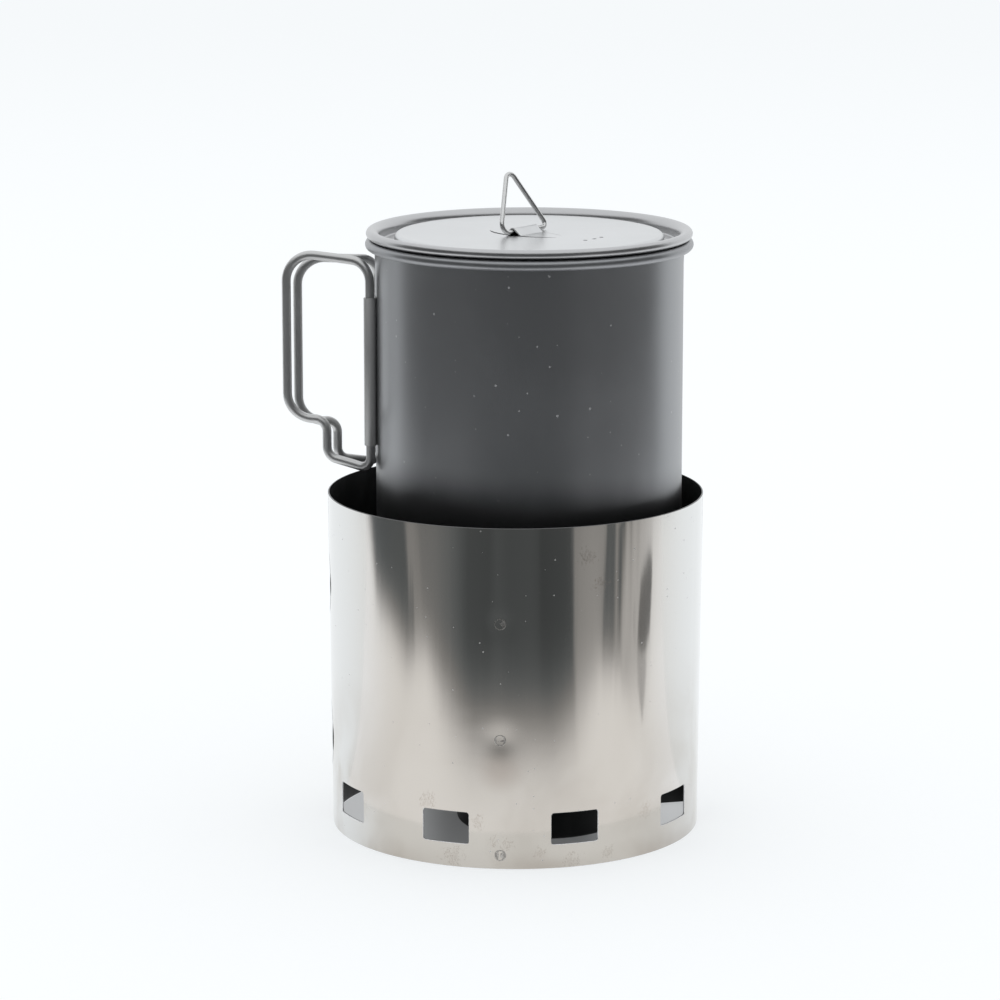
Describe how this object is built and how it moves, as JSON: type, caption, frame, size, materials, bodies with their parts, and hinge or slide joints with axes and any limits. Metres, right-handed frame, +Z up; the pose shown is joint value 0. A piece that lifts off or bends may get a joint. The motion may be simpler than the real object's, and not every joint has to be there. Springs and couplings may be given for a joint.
{
  "type": "rocket stove",
  "caption": "Cylindrical sheet-metal rocket stove with side ports and draught windows; a lidded pot with folding wire handles stands in its shell.",
  "frame": {"origin": "on the ground, on the shell's axis", "axes": "+Z up along the shell's axis, -Y the front with the column of weld spots, handles towards -X"},
  "size_m": [0.1305, 0.1166, 0.2049],
  "materials": {
    "polished_steel": "polished stainless sheet, sooted inside",
    "sooted_steel": "heat-blackened stainless sheet",
    "weld": "resistance weld spot",
    "pot_titanium": "matte dark grey titanium",
    "lid_titanium": "satin titanium",
    "bright_titanium": "bright drawn titanium wire and strip"
  },
  "bodies": {
    "stove": {"outer_shell": "polished_steel", "shell_lap_welds": "weld", "stand_front": "sooted_steel", "stand_right": "sooted_steel", "stand_rear": "sooted_steel", "stand_welds": "weld", "feed_saddle": "sooted_steel", "vent_collar": "sooted_steel", "saddle_welds": "weld", "feed_tube": "sooted_steel", "fire_chamber": "sooted_steel"},
    "grate": {"grate": "sooted_steel"},
    "fuel_shelf": {"fuel_shelf": "sooted_steel"},
    "pot": {"pot_body": "pot_titanium", "handle_plate": "bright_titanium", "plate_welds": "weld"},
    "lid": {"lid": "lid_titanium"},
    "lid_ring": {"lid_ring": "bright_titanium"},
    "handle_front": {"handle_front": "bright_titanium"},
    "handle_rear": {"handle_rear": "bright_titanium"}
  },
  "joints": [
    {"name": "pot_lift", "type": "slide", "parent": "stove", "child": "pot", "axis": [0, 0, 1], "range_m": [0, 0.04]},
    {"name": "lid_lift", "type": "slide", "parent": "pot", "child": "lid", "axis": [0, 0, 1], "range_m": [0, 0.02]},
    {"name": "ring_hinge", "type": "hinge", "parent": "lid", "child": "lid_ring", "pos_m": [0.0025, -0.0021, 0.1872], "axis": [0.6157, 0.788, 0], "range_deg": [-44, 80]},
    {"name": "handle_front_hinge", "type": "hinge", "parent": "pot", "child": "handle_front", "pos_m": [-0.04476, -0.00697, 0.144], "axis": [0, 0, 1], "range_deg": [0, 128]},
    {"name": "handle_rear_hinge", "type": "hinge", "parent": "pot", "child": "handle_rear", "pos_m": [-0.04304, 0.01462, 0.144], "axis": [0, 0, 1], "range_deg": [-147, 0]},
    {"name": "grate_lift", "type": "slide", "parent": "stove", "child": "grate", "axis": [0, 0, 1], "range_m": [0, 0.055]},
    {"name": "shelf_slide", "type": "slide", "parent": "stove", "child": "fuel_shelf", "axis": [-0.9986, 0.0523, 0], "range_m": [0, 0.03]}
  ]
}
